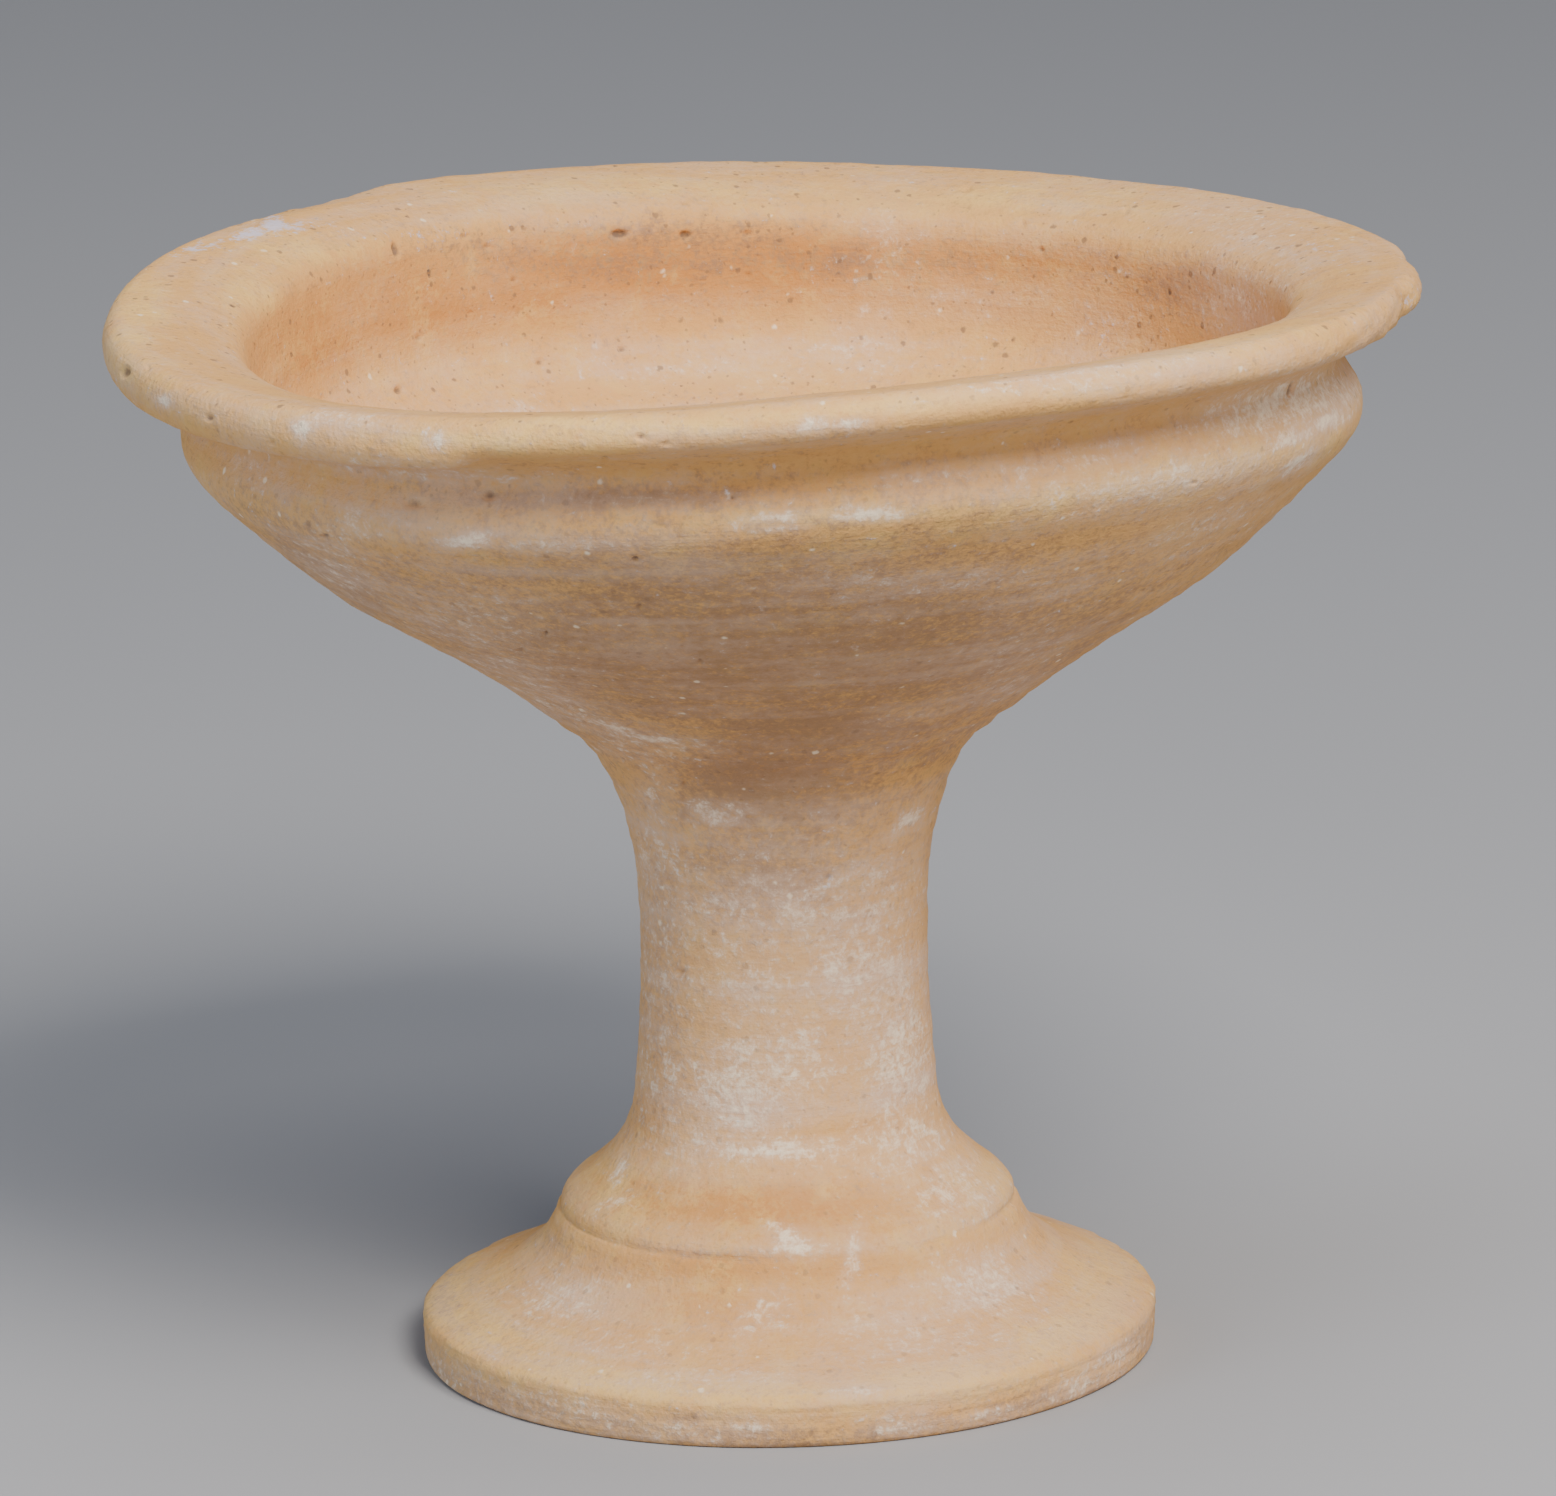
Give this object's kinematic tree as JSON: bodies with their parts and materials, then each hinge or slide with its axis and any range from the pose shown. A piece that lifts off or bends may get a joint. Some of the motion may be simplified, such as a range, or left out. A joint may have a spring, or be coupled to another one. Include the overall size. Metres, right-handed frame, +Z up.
{
  "type": "pottery chalice",
  "caption": "Fired-clay chalice: wide open bowl with a flared lip and a stepped shoulder, on a tall waisted stem and a spreading stepped foot, with old chips in the rim.",
  "frame": {"origin": "middle of the foot, on the surface that the chalice stands on", "axes": "+Z up the stem; -Y towards the side that the picture shows; +X to that side's right"},
  "size_m": [0.1645, 0.1745, 0.142],
  "materials": {
    "buff_clay": "matt unglazed buff-orange fired clay with a thin chalky lime film and old chips"
  },
  "bodies": {
    "root": {"chalice": "buff_clay"}
  },
  "joints": []
}
